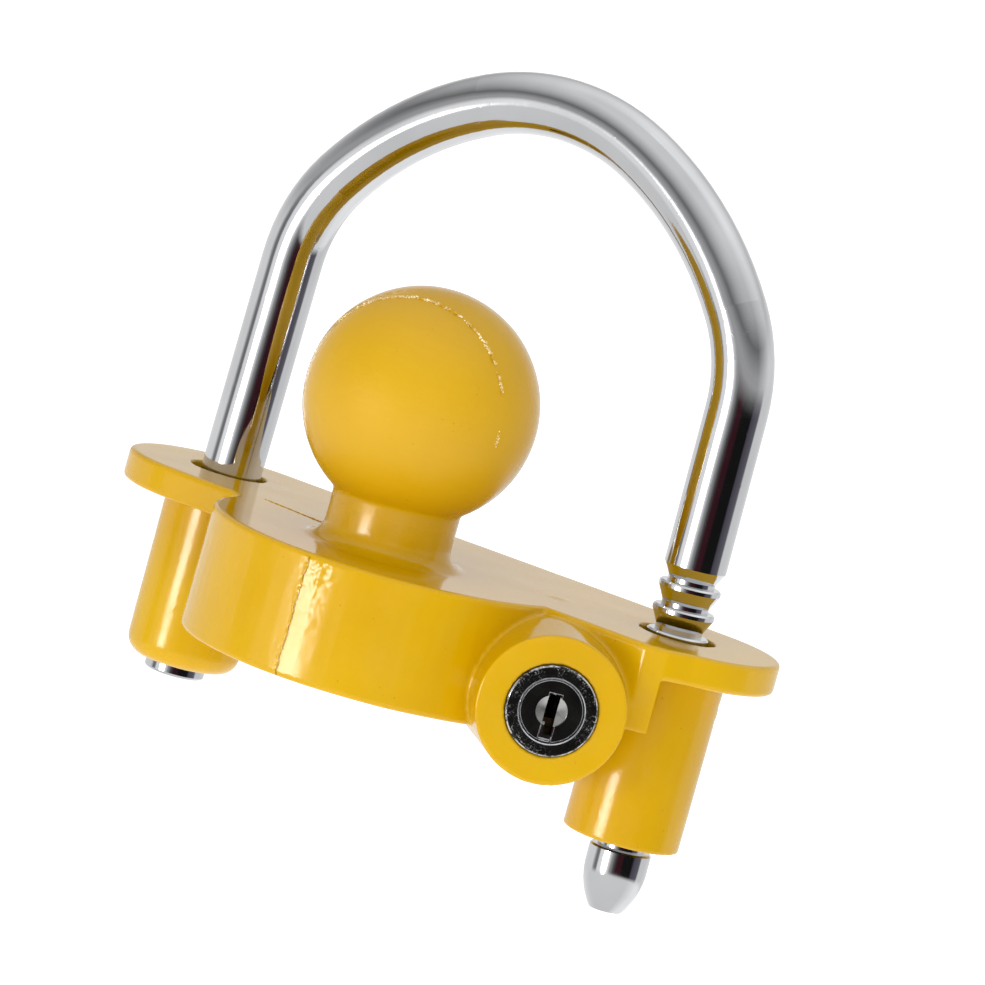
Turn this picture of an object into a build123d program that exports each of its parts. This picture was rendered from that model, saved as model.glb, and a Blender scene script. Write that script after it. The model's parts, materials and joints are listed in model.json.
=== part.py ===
from build123d import *
import os
from math import cos, radians, sin, tan

# Ratcheting trailer coupler lock, in millimetres.
# Origin: centre of the coupler ball. +X runs from the plain leg's bore to the ratchet leg's bore,
# -Y is the front, where the drum and the lock are, and +Z is up, along the neck and the shackle legs.

os.makedirs("parts", exist_ok=True)

# ---------------------------------------------------------------- driving dimensions
# Casting
ball_diameter = 47.6  # a 1-7/8 in coupler ball
ball_height = 30.4  # ball centre above the deck
neck_diameter = 26.2
neck_offset = 0.6  # the neck stands this much towards the ratchet leg
neck_foot_fillet = 4.0
deck_thickness = 6.4
bore_spacing = 110.6
bore_setback = 27.2  # the shackle's plane behind the ball centre
lobe_radius = 21.5
drum_radius = 37.6
drum_setback = 5.5  # drum centre behind the ball centre
drum_depth = 25.5
drum_flare = 0.6  # degrees, the drum widens a little downwards
notch_round = 5.0  # where the plain lobe meets the drum
boss_radius = 11.95
plain_boss_depth = 41.5
ratchet_boss_depth = 42.6
plain_bore_radius = 8.0
plain_bore_offset = 0.6  # outwards from the leg, as the leg splays out below
ratchet_bore_radius = 7.8
edge_round = 0.9
plain_boss_round = 4.0  # the plain boss is rounded off below

# Shackle
rod_diameter = 12.7  # a 1/2 in bar
leg_splay = 1.0  # degrees, each leg outwards as it goes down
straight_leg = 46.2  # deck to the start of the shoulder bend
shoulder_radius = 34.0
shoulder_turn = 34.5
flank_radius = 71.0
flank_turn = 31.0
plain_leg_depth = 43.8  # end of the plain leg below the deck
rod_shoulder_height = 14.1  # where the full bar ends above the deck on the ratchet leg
tooth_pitch = 5.0
tooth_count = 11
tooth_root_radius = 4.85
tooth_land_radius = rod_diameter / 2  # the teeth are turned from the bar
first_tooth_height = 10.5  # flat shoulder of the top tooth above the deck

# Lock
lock_azimuth = 36.0  # degrees, the way the lock faces, turned from the front towards +X
lock_depth = 16.8  # lock axis below the deck
lock_offset = 24.0  # lock axis beside the ratchet leg
lock_reach = 27.5  # lock face in front of the ratchet leg's axis
housing_radius = 15.0
housing_draft = 3.2  # degrees
housing_length = 36.0
shell_radius = 8.0
shell_length = 20.0
bezel_radius = 9.15
bezel_height = 0.6  # stands proud of the casting's face
plug_radius = 5.55
plug_length = 21.6
running_clearance = 0.05
face_gap = 0.02  # between two faces that lie against each other
wafer_count = 6
wafer_pitch = 2.0
first_wafer_depth = 4.6
wafer_thickness = 0.9
wafer_travel = 0.7
quarter_turn = 90.0

# Pawl
pawl_radius = 2.8
pawl_travel = 5.5
pawl_tooth = 5  # counted down from the top tooth: the tooth that the pawl is level with
shoulder_clearance = 0.25

# ---------------------------------------------------------------- worked out from them
ball_radius = ball_diameter / 2
rod_radius = rod_diameter / 2
neck_radius = neck_diameter / 2
deck_z = -ball_height
deck_under_z = deck_z - deck_thickness
half_spacing = bore_spacing / 2
splay = radians(leg_splay)
tooth_shoulder_depth = pawl_tooth * tooth_pitch - first_tooth_height
pawl_rise = 1.2  # pawl centre above the tooth shoulder that it catches
pawl_depth = tooth_shoulder_depth - pawl_rise
facing = radians(lock_azimuth)
outward = Vector(sin(facing), -cos(facing), 0)  # out of the lock's face
across = Vector(cos(facing), sin(facing), 0)  # from the lock towards the ratchet leg

ratchet_leg_foot = Vector(half_spacing, bore_setback, deck_z)
lock_centre = (
    ratchet_leg_foot
    + outward * lock_reach
    - across * lock_offset
    + Vector(0, 0, -lock_depth)
)
lock_axis = Axis(lock_centre, outward)
# Facing the lock: x to the right, y up, z out of the face
lock_front = Plane(origin=lock_centre, x_dir=across, z_dir=outward)
# For turned pieces: x is the radius, y points out of the face
lock_section = Plane(origin=lock_centre, x_dir=across, z_dir=(0, 0, -1))
# The pawl's line crosses the ratchet leg's axis: z runs from the leg back towards the lock
pawl_line = Plane(
    origin=ratchet_leg_foot + Vector(0, 0, -pawl_depth),
    x_dir=outward,
    z_dir=across * -1,
)
cam_throw = pawl_travel / (2 * sin(radians(quarter_turn / 2)))


def lock_at(depth):
    """The plane across the lock axis at a depth below the lock's face."""
    return lock_front.offset(-depth)


# ---------------------------------------------------------------- body casting
web_depth = 17.5
web_front = 3.7  # front wall of the web, as a Y value
web_corner = (half_spacing + 6.5, web_front)
web_end = (half_spacing + 10.3, bore_setback - 21.2)  # the web's sharp outer edge
web_heel = (half_spacing + 3.4, bore_setback - 11.5)  # where the web meets the ratchet boss
# The lobe's rim runs straight on to the web's end from about this point, just inside its circle
lobe_flat_turn = 41.0  # degrees from +X towards the front
lobe_flat_end = (
    half_spacing + (lobe_radius - 0.5) * cos(radians(lobe_flat_turn)),
    bore_setback - (lobe_radius - 0.5) * sin(radians(lobe_flat_turn)),
)
web_root_x = drum_radius - 8.0  # inside the drum
overlap = 1.0  # how far a piece runs into its neighbour, or a cut runs past it
barrel_back_radius = housing_radius + housing_length * tan(radians(housing_draft))
pin_radius = 1.5
pin_depth = 12.0  # the retaining pin behind the lock's face
pawl_bore_radius = pawl_radius + 0.1
spring_pocket_end = lock_offset + 16.5  # from the ratchet leg's axis
chamber_radius = 7.2
chamber_depth = lock_reach + pawl_radius + 0.7
shell_bore_radius = shell_radius + 0.02
bezel_seat_radius = bezel_radius + 0.1
bezel_seat_depth = 1.5

neck_section = Plane(origin=(neck_offset, 0, 0), x_dir=(1, 0, 0), z_dir=(0, -1, 0))

with BuildPart() as body_casting:
    # Deck: two lobes joined by straight edges, the drum's circle and the web, all one flat top
    with BuildSketch(Plane.XY.offset(deck_under_z)):
        with Locations((0, bore_setback)):
            SlotCenterToCenter(bore_spacing, 2 * lobe_radius)
        with Locations((0, drum_setback)):
            Circle(drum_radius)
        with BuildLine():
            Polyline(
                (web_root_x, web_front),
                web_corner,
                web_end,
                lobe_flat_end,
                (web_root_x, bore_setback),
                close=True,
            )
        make_face()
        notch = vertices().sort_by_distance((-drum_radius, drum_setback))[0]
        fillet(notch, notch_round)
    extrude(amount=deck_thickness)
    rim = edges().filter_by(lambda edge: edge.length > 2).group_by(Axis.Z)
    fillet(rim[-1] + rim[0], edge_round)
    # Drum: the thick round body under the ball
    with BuildSketch(Plane.XY.offset(deck_z - edge_round)):
        with Locations((0, drum_setback)):
            Circle(drum_radius)
    extrude(amount=edge_round - drum_depth, taper=-drum_flare)
    fillet(faces().sort_by(Axis.Z)[0].edges(), edge_round)
    # Web between the lock's barrel and the ratchet boss, which hides the pawl
    with BuildSketch(Plane.XY.offset(deck_z - web_depth)):
        with BuildLine():
            Polyline(
                (web_root_x, web_front),
                web_corner,
                web_end,
                web_heel,
                (half_spacing, bore_setback),
                (web_root_x, bore_setback),
                close=True,
            )
        make_face()
    extrude(amount=web_depth - edge_round)
    # Bosses for the two legs
    with BuildSketch(Plane.XY.offset(deck_z - ratchet_boss_depth)):
        with Locations((half_spacing, bore_setback)):
            Circle(boss_radius)
    extrude(amount=ratchet_boss_depth - edge_round)
    with BuildSketch(Plane.XY.offset(deck_z - plain_boss_depth)):
        with Locations((-half_spacing, bore_setback)):
            Circle(boss_radius)
    extrude(amount=plain_boss_depth - edge_round)
    plain_boss_rim = faces().filter_by(Axis.Z).filter_by(
        lambda face: abs(face.center().Z - (deck_z - plain_boss_depth)) < 0.1
    )
    fillet(plain_boss_rim.edges(), plain_boss_round)
    # Lock barrel, drafted towards its face
    with BuildSketch(lock_section):
        with BuildLine():
            Polyline(
                (0, 0),
                (housing_radius, 0),
                (barrel_back_radius, -housing_length),
                (0, -housing_length),
                close=True,
            )
        make_face()
    revolve(axis=lock_axis)
    # Neck and ball
    with BuildSketch(neck_section):
        with BuildLine():
            Polyline(
                (0, deck_z - overlap),
                (neck_radius + neck_foot_fillet, deck_z - overlap),
                (neck_radius + neck_foot_fillet, deck_z),
            )
            foot = RadiusArc(
                (neck_radius + neck_foot_fillet, deck_z),
                (neck_radius, deck_z + neck_foot_fillet),
                neck_foot_fillet,
            )
            Polyline(foot @ 1, (neck_radius, 0), (0, 0), (0, deck_z - overlap))
        make_face()
    revolve(axis=Axis((neck_offset, 0, 0), (0, 0, 1)))
    Sphere(ball_radius)
    # Bores for the shackle's legs
    with BuildSketch(Plane.XY.offset(deck_z)):
        with Locations((half_spacing, bore_setback)):
            Circle(ratchet_bore_radius)
        with Locations((-half_spacing - plain_bore_offset, bore_setback)):
            Circle(plain_bore_radius)
    extrude(amount=-ratchet_boss_depth - overlap, mode=Mode.SUBTRACT)
    # Stepped bore for the lock cylinder and the cam
    with BuildSketch(lock_section):
        with BuildLine():
            Polyline(
                (0, overlap),
                (bezel_seat_radius, overlap),
                (bezel_seat_radius, -bezel_seat_depth),
                (shell_bore_radius, -bezel_seat_depth),
                (shell_bore_radius, -shell_length),
                (chamber_radius, -shell_length),
                (chamber_radius, -chamber_depth),
                (0, -chamber_depth),
                close=True,
            )
        make_face()
    revolve(axis=lock_axis, mode=Mode.SUBTRACT)
    # Cross bore for the pawl, drilled from outside through the ratchet boss
    with BuildSketch(pawl_line.offset(-boss_radius - overlap)):
        Circle(pawl_bore_radius)
    extrude(amount=boss_radius + overlap + spring_pocket_end, mode=Mode.SUBTRACT)
    # Hole for the pin that keeps the lock cylinder in
    with BuildSketch(Plane(lock_at(pin_depth).origin, x_dir=across, z_dir=(0, 0, -1))):
        Circle(pin_radius)
    extrude(amount=barrel_back_radius + overlap, mode=Mode.SUBTRACT)

body_casting.part.label = "body_casting"
export_step(body_casting.part, "parts/body_casting.step")

# ---------------------------------------------------------------- shackle
plain_end_x = -half_spacing - plain_leg_depth * tan(splay)
crown_start_turn = leg_splay + shoulder_turn + flank_turn
ratchet_leg = Plane(
    origin=ratchet_leg_foot,
    x_dir=(cos(splay), 0, sin(splay)),
    z_dir=(0, -1, 0),
)
# Ratchet leg, as heights on the leg's own axis above the deck
tooth_land = 1.1
root_height = 1.0
shoulder_chamfer = 0.35
core_length = 3.0  # the turned leg's core inside the full bar
bar_step = 0.05  # the turned cone starts this much inside the bar's skin
plain_end_round = 0.6
tip_shoulder = first_tooth_height - tooth_count * tooth_pitch
tip_height = -57.4
tip_land = 3.0
tip_end_radius = 3.4
tip_bulge = 0.9  # how far the bullet's side stands out of a straight cone

with BuildPart() as shackle:
    with BuildLine(Plane.XZ.offset(-bore_setback)) as rod_line:
        plain_leg = Line(
            (plain_end_x, deck_z - plain_leg_depth),
            (-half_spacing + straight_leg * tan(splay), deck_z + straight_leg),
        )
        left_shoulder = JernArc(plain_leg @ 1, plain_leg % 1, shoulder_radius, -shoulder_turn)
        left_flank = JernArc(left_shoulder @ 1, left_shoulder % 1, flank_radius, -flank_turn)
        # The crown's radius brings it level exactly on the centre line
        crown_radius = -(left_flank @ 1).X / cos(radians(crown_start_turn))
        crown = JernArc(
            left_flank @ 1, left_flank % 1, crown_radius, -2 * (90 - crown_start_turn)
        )
        right_flank = JernArc(crown @ 1, crown % 1, flank_radius, -flank_turn)
        right_shoulder = JernArc(
            right_flank @ 1, right_flank % 1, shoulder_radius, -shoulder_turn
        )
        Line(
            right_shoulder @ 1,
            (half_spacing - rod_shoulder_height * tan(splay), deck_z + rod_shoulder_height),
        )
    with BuildSketch(Plane(origin=rod_line.line @ 0, z_dir=rod_line.line % 0)):
        Circle(rod_radius)
    sweep(path=rod_line.line)
    # The plain leg ends in a rounded edge
    fillet(edges().filter_by(GeomType.CIRCLE).sort_by(Axis.Z)[0], plain_end_round)
    # Ratchet leg: each tooth has a flat shoulder on top and a cone below, so it slips downwards only
    with BuildSketch(ratchet_leg):
        with BuildLine():
            # A core inside the full bar, then the bar's own cone
            points = [
                (0, rod_shoulder_height + core_length),
                (tooth_root_radius, rod_shoulder_height + core_length),
                (tooth_root_radius, rod_shoulder_height),
                (rod_radius - bar_step, rod_shoulder_height),
            ]
            for tooth in range(tooth_count + 1):
                shoulder = first_tooth_height - tooth * tooth_pitch
                points += [
                    (tooth_root_radius, shoulder + root_height),
                    (tooth_root_radius, shoulder),
                    (tooth_land_radius - shoulder_chamfer, shoulder),
                    (tooth_land_radius, shoulder - shoulder_chamfer),
                    (tooth_land_radius, shoulder - tooth_land),
                ]
            # The last tooth runs on as the bullet-shaped tip
            points[-1] = (tooth_land_radius, tip_shoulder - tip_land)
            Polyline(points)
            bullet = ThreePointArc(
                points[-1],
                (
                    (tooth_land_radius + tip_end_radius) / 2 + tip_bulge,
                    (tip_shoulder - tip_land + tip_height) / 2,
                ),
                (tip_end_radius, tip_height),
            )
            Polyline(bullet @ 1, (0, tip_height), points[0])
        make_face()
    revolve(axis=Axis(ratchet_leg.origin, ratchet_leg.y_dir))

shackle.part.label = "shackle"
export_step(shackle.part, "parts/shackle.step")

# ---------------------------------------------------------------- lock cylinder
face_cap_radius = 6.3
face_cap_gap = 0.2  # between the cap and the bezel round it
face_cap_chamfer = 0.15
face_cap_thickness = 0.8
face_cap_sink = 0.25  # below the bezel's front
face_cap_front = bezel_height - face_cap_sink  # in front of the casting's face
plug_front_depth = face_cap_thickness - face_cap_front
keyway_width = 2.3
keyway_height = 8.2
keyway_drop = 0.8  # the keyway and its slot sit below the lock's centre
ward_width = 0.55
ward_height = 2.4
keyway_depth = 16.6
face_slot_height = 9.2
face_slot_drop = 1.2
dish_radius = 3.15
dish_depth = 0.8
wafer_groove_radius = 6.9
wafer_half_width = 2.9
slot_clearance = 0.06
groove_depth_start = 3.4
pin_notch_depth = 1.6
bezel_round = 0.5
bezel_inner_chamfer = 0.15
groove_side_gap = 0.2
below_lock = Plane(lock_at(pin_depth).origin, x_dir=across, z_dir=(0, 0, -1))

with BuildPart() as lock_shell:
    with BuildSketch(lock_section):
        with BuildLine():
            Polyline(
                (plug_radius + running_clearance, -plug_front_depth),
                (face_cap_radius + face_cap_gap, -plug_front_depth),
                (face_cap_radius + face_cap_gap, bezel_height),
                (bezel_radius, bezel_height),
                (bezel_radius, -bezel_seat_depth),
                (shell_radius, -bezel_seat_depth),
                (shell_radius, -shell_length),
                (plug_radius + running_clearance, -shell_length),
                close=True,
            )
        make_face()
    revolve(axis=lock_axis)
    bezel_edges = edges().filter_by(GeomType.CIRCLE).sort_by(lock_axis)[-2:].sort_by(SortBy.RADIUS)
    fillet(bezel_edges[-1], bezel_round)
    chamfer(bezel_edges[0], bezel_inner_chamfer)
    # Grooves that the wafers spring into, in the locked and in the turned position
    with BuildSketch(lock_at(groove_depth_start)):
        for turn in (0, quarter_turn):
            Rectangle(
                2 * (wafer_half_width + groove_side_gap), 2 * wafer_groove_radius, rotation=turn
            )
    extrude(amount=groove_depth_start - shell_length, mode=Mode.SUBTRACT)
    # Notch for the retaining pin
    with BuildSketch(below_lock.offset(shell_radius - pin_notch_depth)):
        Circle(pin_radius + running_clearance)
    extrude(amount=2 * pin_notch_depth, mode=Mode.SUBTRACT)

lock_shell.part.label = "lock_shell"
export_step(lock_shell.part, "parts/lock_shell.step")

clip_thickness = 0.6
clip_depth = shell_length + running_clearance
clip_groove_radius = 4.6
drive_size = 3.4
drive_depth = 0.9
cam_depth = plug_length + face_gap
screw_radius = 1.0
screw_length = 6.0
screw_hole_spare = 0.3
spring_offset = 3.65  # wafer springs beside the keyway
spring_pocket_radius = 0.62
spring_pocket_height = 3.0
ear_half_height = 0.5
ear_edge = 4.3


def wafer_depth(index):
    """The depth of a wafer's middle behind the lock's face."""
    return first_wafer_depth + index * wafer_pitch


with BuildPart() as lock_plug:
    with BuildSketch(lock_section):
        with BuildLine():
            Polyline(
                (0, -plug_front_depth - dish_depth),
                (dish_radius, -plug_front_depth - face_gap),
                (plug_radius, -plug_front_depth - face_gap),
                (plug_radius, -clip_depth),
                (clip_groove_radius, -clip_depth),
                (clip_groove_radius, -clip_depth - clip_thickness - running_clearance),
                (plug_radius, -clip_depth - clip_thickness - running_clearance),
                (plug_radius, -plug_length),
                (0, -plug_length),
                close=True,
            )
        make_face()
    revolve(axis=lock_axis)
    # Square drive for the cam
    with BuildSketch(lock_at(plug_length)):
        Rectangle(drive_size, drive_size)
    extrude(amount=-drive_depth)
    with BuildSketch(lock_at(plug_length + drive_depth)):
        Circle(screw_radius)
    extrude(amount=screw_length + screw_hole_spare, mode=Mode.SUBTRACT)
    # Keyway
    with BuildSketch(lock_front):
        with Locations((0, -keyway_drop)):
            Rectangle(keyway_width, keyway_height)
        # The ward: a ridge on the left side, near the bottom
        with Locations((-keyway_width / 2, -keyway_drop - keyway_height / 2)):
            Rectangle(ward_width, ward_height, align=Align.MIN, mode=Mode.SUBTRACT)
    extrude(amount=-keyway_depth, mode=Mode.SUBTRACT)
    # A slot for each wafer, with a side pocket for its ear and spring
    for index in range(wafer_count):
        slot_plane = lock_at(wafer_depth(index))
        with BuildSketch(slot_plane):
            Rectangle(2 * (wafer_half_width + slot_clearance), 3 * plug_radius)
            with Locations((wafer_half_width, -ear_half_height - slot_clearance)):
                Rectangle(
                    ear_edge - wafer_half_width + slot_clearance,
                    2 * (ear_half_height + slot_clearance) + wafer_travel,
                    align=(Align.MIN, Align.MIN),
                )
        extrude(amount=wafer_thickness / 2 + slot_clearance, both=True, mode=Mode.SUBTRACT)
        pocket_top = slot_plane.from_local_coords((spring_offset, -ear_half_height, 0))
        with BuildSketch(Plane(pocket_top, x_dir=across, z_dir=(0, 0, -1))):
            Circle(spring_pocket_radius)
        extrude(amount=spring_pocket_height, mode=Mode.SUBTRACT)

lock_plug.part.label = "lock_plug"
export_step(lock_plug.part, "parts/lock_plug.step")

with BuildPart() as plug_face_cap:
    with BuildSketch(lock_front.offset(face_cap_front)):
        Circle(face_cap_radius)
        Circle(dish_radius, mode=Mode.SUBTRACT)
        with Locations((0, -face_slot_drop)):
            Rectangle(keyway_width, face_slot_height, mode=Mode.SUBTRACT)
    extrude(amount=-face_cap_thickness)
    front_circles = edges().group_by(lock_axis)[-1].filter_by(GeomType.CIRCLE)
    chamfer(front_circles.sort_by(SortBy.RADIUS)[-1], face_cap_chamfer)

plug_face_cap.part.label = "plug_face_cap"
export_step(plug_face_cap.part, "parts/plug_face_cap.step")

# ---------------------------------------------------------------- wafers and their springs
window_width = keyway_width + 0.4
ear_root = 0.5  # how far the ear runs into the wafer
window_height = 5.0
# Each wafer's window sits at one of the key's cut heights
window_steps = (0.4, -0.3, 0.1, 0.6, -0.1, 0.3)
wafer_radius = plug_radius - 0.15  # below the plug's skin when a key has set it
wafer_wire = 0.2
wafer_coil_radius = 0.42
wafer_spring_turns = 5

for index in range(wafer_count):
    with BuildPart() as wafer:
        with BuildSketch(lock_at(wafer_depth(index))):
            Circle(wafer_radius)
            Rectangle(2 * wafer_half_width, 3 * wafer_radius, mode=Mode.INTERSECT)
            with Locations((wafer_half_width - ear_root, 0)):
                Rectangle(
                    ear_edge - wafer_half_width + ear_root,
                    2 * ear_half_height,
                    align=(Align.MIN, Align.CENTER),
                )
            with Locations((0, window_steps[index])):
                Rectangle(window_width, window_height, mode=Mode.SUBTRACT)
        extrude(amount=wafer_thickness / 2, both=True)
    wafer.part.label = f"wafer_{index + 1}"
    export_step(wafer.part, f"parts/wafer_{index + 1}.step")

    spring_foot = lock_at(wafer_depth(index)).from_local_coords(
        (spring_offset, -ear_half_height - spring_pocket_height + wafer_wire, 0)
    )
    coil_height = spring_pocket_height - 2 * wafer_wire - slot_clearance
    with BuildPart() as wafer_spring:
        with BuildLine() as coil:
            Helix(
                coil_height / wafer_spring_turns,
                coil_height,
                wafer_coil_radius,
                center=spring_foot,
            )
        with BuildSketch(Plane(origin=coil.line @ 0, z_dir=coil.line % 0)):
            Circle(wafer_wire / 2)
        sweep(path=coil.line)
    wafer_spring.part.label = f"wafer_spring_{index + 1}"
    export_step(wafer_spring.part, f"parts/wafer_spring_{index + 1}.step")

# ---------------------------------------------------------------- plug clip, cam and its screw
clip_outer_radius = 6.8
clip_opening = 3.6
clip_slot_start = 1.0  # below the lock axis
cam_radius = 6.4
cam_thickness = 2.4
cam_pin_radius = 1.4
cam_pin_reach = 3.5  # out of the cam, into the pawl's notch
pin_chamfer = 0.3
screw_head_radius = 2.0
screw_head_height = 0.9
screw_slot = 0.7
cam_back = cam_depth + cam_thickness

with BuildPart() as plug_clip:
    with BuildSketch(lock_at(clip_depth)):
        Circle(clip_outer_radius)
        Circle(clip_groove_radius + face_gap, mode=Mode.SUBTRACT)
        with Locations((0, -clip_outer_radius / 2 - clip_slot_start)):
            Rectangle(clip_opening, clip_outer_radius, mode=Mode.SUBTRACT)
    extrude(amount=-clip_thickness)

plug_clip.part.label = "plug_clip"
export_step(plug_clip.part, "parts/plug_clip.step")

# With the pawl drawn back, the cam's pin stands half a quarter turn to the left of upright
pin_place = (
    -cam_throw * sin(radians(quarter_turn / 2)),
    cam_throw * cos(radians(quarter_turn / 2)),
)

with BuildPart() as cam_disc:
    with BuildSketch(lock_at(cam_depth)):
        Circle(cam_radius)
        with Locations(pin_place):
            Circle(cam_pin_radius, mode=Mode.SUBTRACT)
    extrude(amount=-cam_thickness)
    with BuildSketch(lock_at(cam_depth)):
        Rectangle(drive_size + running_clearance, drive_size + running_clearance)
    extrude(amount=-drive_depth - running_clearance, mode=Mode.SUBTRACT)
    with BuildSketch(lock_section):
        with BuildLine():
            Polyline(
                (0, -cam_depth),
                (screw_radius + running_clearance, -cam_depth),
                (screw_radius + running_clearance, -cam_back + screw_head_height),
                (screw_head_radius + running_clearance, -cam_back),
                (0, -cam_back),
                close=True,
            )
        make_face()
    revolve(axis=lock_axis, mode=Mode.SUBTRACT)

cam_disc.part.label = "cam_disc"
export_step(cam_disc.part, "parts/cam_disc.step")

with BuildPart() as cam_pin:
    with BuildSketch(lock_at(cam_depth + running_clearance)):
        with Locations(pin_place):
            Circle(cam_pin_radius)
    extrude(amount=-cam_thickness - cam_pin_reach)
    chamfer(edges().group_by(lock_axis)[0], pin_chamfer)

cam_pin.part.label = "cam_pin"
export_step(cam_pin.part, "parts/cam_pin.step")

with BuildPart() as cam_screw:
    with BuildSketch(lock_section):
        with BuildLine():
            Polyline(
                (0, -cam_back),
                (screw_head_radius, -cam_back),
                (screw_radius - face_gap, -cam_back + screw_head_height),
                (screw_radius - face_gap, -cam_back + screw_head_height + screw_length),
                (0, -cam_back + screw_head_height + screw_length),
                close=True,
            )
        make_face()
    revolve(axis=lock_axis)
    with BuildSketch(lock_at(cam_back)):
        Rectangle(screw_slot, 3 * screw_head_radius)
    extrude(amount=screw_slot, mode=Mode.SUBTRACT)

cam_screw.part.label = "cam_screw"
export_step(cam_screw.part, "parts/cam_screw.step")

# ---------------------------------------------------------------- pawl and its spring
# Places along the pawl's line are distances from the ratchet leg's axis, with the pawl drawn back
nose_root_gap = 0.3  # nose tip to the bottom of a groove, with the pawl out
nose_land_gap = 0.65  # nose shoulder to the bar's skin, with the pawl out
nose_end = tooth_root_radius + nose_root_gap + pawl_travel
nose_shoulder = rod_radius + nose_land_gap + pawl_travel
nose_slope_reach = 0.6  # how far the nose's slope runs on behind its shoulder
tail_chamfer = 0.4
tail_length = 4.6  # behind the middle of the notch
nose_lip = 0.6  # thickness of the nose at its very tip
nose_under = pawl_rise - shoulder_clearance  # underside of the nose below the pawl's axis
notch_centre = lock_offset + pawl_travel / 2
notch_clearance = 0.25
notch_half_width = cam_pin_radius + notch_clearance
pawl_tail = notch_centre + tail_length
notch_floor = cam_back + cam_pin_reach - lock_reach + notch_clearance  # behind the pawl's axis
spring_wire = 0.7
spring_coil_radius = 2.1
spring_turns = 6

with BuildPart() as pawl:
    with BuildSketch(pawl_line.offset(nose_end)):
        Circle(pawl_radius)
    extrude(amount=pawl_tail - nose_end)
    chamfer(faces().sort_by(Axis(pawl_line.origin, pawl_line.z_dir))[-1].edges(), tail_chamfer)
    # The nose: flat below, to catch a tooth's shoulder, and sloped above, to ride over its cone
    nose_side = Plane(origin=pawl_line.origin, x_dir=across * -1, z_dir=outward * -1)
    with BuildSketch(nose_side):
        with BuildLine():
            Polyline(
                (nose_end - overlap, -nose_under),
                (nose_shoulder, -nose_under),
                (nose_shoulder, -pawl_radius - overlap),
                (nose_end - overlap, -pawl_radius - overlap),
                close=True,
            )
        make_face()
        with BuildLine():
            Polyline(
                (nose_end - overlap, nose_lip - nose_under),
                (nose_end, nose_lip - nose_under),
                (nose_shoulder + nose_slope_reach, pawl_radius),
                (nose_shoulder + nose_slope_reach, pawl_radius + overlap),
                (nose_end - overlap, pawl_radius + overlap),
                close=True,
            )
        make_face()
    extrude(amount=pawl_radius + overlap, both=True, mode=Mode.SUBTRACT)
    # Notch for the cam's pin, open towards the lock
    with BuildSketch(pawl_line.offset(notch_centre)):
        with Locations((-notch_floor, 0)):
            Rectangle(3 * pawl_radius, 3 * pawl_radius, align=(Align.MIN, Align.CENTER))
    extrude(amount=notch_half_width, both=True, mode=Mode.SUBTRACT)

pawl.part.label = "pawl"
export_step(pawl.part, "parts/pawl.step")

spring_start = pawl_tail + spring_wire / 2 + face_gap
spring_length = spring_pocket_end - spring_start - spring_wire / 2 - face_gap

with BuildPart() as pawl_spring:
    with BuildLine() as coil:
        Helix(
            spring_length / spring_turns,
            spring_length,
            spring_coil_radius,
            center=pawl_line.offset(spring_start).origin,
            direction=pawl_line.z_dir,
        )
    with BuildSketch(Plane(origin=coil.line @ 0, z_dir=coil.line % 0)):
        Circle(spring_wire / 2)
    sweep(path=coil.line)

pawl_spring.part.label = "pawl_spring"
export_step(pawl_spring.part, "parts/pawl_spring.step")

# ---------------------------------------------------------------- pins and plugs pressed into the casting
bore_plug_length = 3.0
bore_plug_sink = 0.3
retaining_pin_length = 8.6
pin_end_gap = 0.1
plug_chamfer = 0.25

with BuildPart() as bore_plug:
    with BuildSketch(pawl_line.offset(bore_plug_sink - boss_radius)):
        Circle(pawl_bore_radius)
    extrude(amount=bore_plug_length)
    chamfer(edges(), plug_chamfer)

bore_plug.part.label = "bore_plug"
export_step(bore_plug.part, "parts/bore_plug.step")

with BuildPart() as retaining_pin:
    with BuildSketch(below_lock.offset(shell_radius - pin_notch_depth + pin_end_gap)):
        Circle(pin_radius)
    extrude(amount=retaining_pin_length)
    chamfer(edges(), pin_chamfer)

retaining_pin.part.label = "retaining_pin"
export_step(retaining_pin.part, "parts/retaining_pin.step")
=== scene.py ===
import json
import math
import random

import bpy
import numpy as np
from mathutils import Matrix, Vector, noise


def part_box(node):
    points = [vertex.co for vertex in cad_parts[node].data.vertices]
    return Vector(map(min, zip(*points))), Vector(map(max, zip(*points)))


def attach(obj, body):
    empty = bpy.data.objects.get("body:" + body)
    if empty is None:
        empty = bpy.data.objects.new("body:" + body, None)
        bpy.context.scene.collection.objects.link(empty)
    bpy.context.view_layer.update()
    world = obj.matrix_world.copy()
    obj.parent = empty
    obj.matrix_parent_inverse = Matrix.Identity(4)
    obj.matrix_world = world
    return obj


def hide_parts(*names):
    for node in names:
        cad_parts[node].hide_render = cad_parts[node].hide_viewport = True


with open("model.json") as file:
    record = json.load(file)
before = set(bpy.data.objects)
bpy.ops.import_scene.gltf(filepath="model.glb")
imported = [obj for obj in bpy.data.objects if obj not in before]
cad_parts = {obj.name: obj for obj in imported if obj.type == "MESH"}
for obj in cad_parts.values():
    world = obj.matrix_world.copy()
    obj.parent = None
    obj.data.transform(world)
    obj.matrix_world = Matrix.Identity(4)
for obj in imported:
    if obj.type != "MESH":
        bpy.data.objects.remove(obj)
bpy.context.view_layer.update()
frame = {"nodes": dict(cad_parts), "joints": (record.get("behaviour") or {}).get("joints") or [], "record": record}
nodes = frame["nodes"]
random.seed(7)
MM = 0.001

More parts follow.
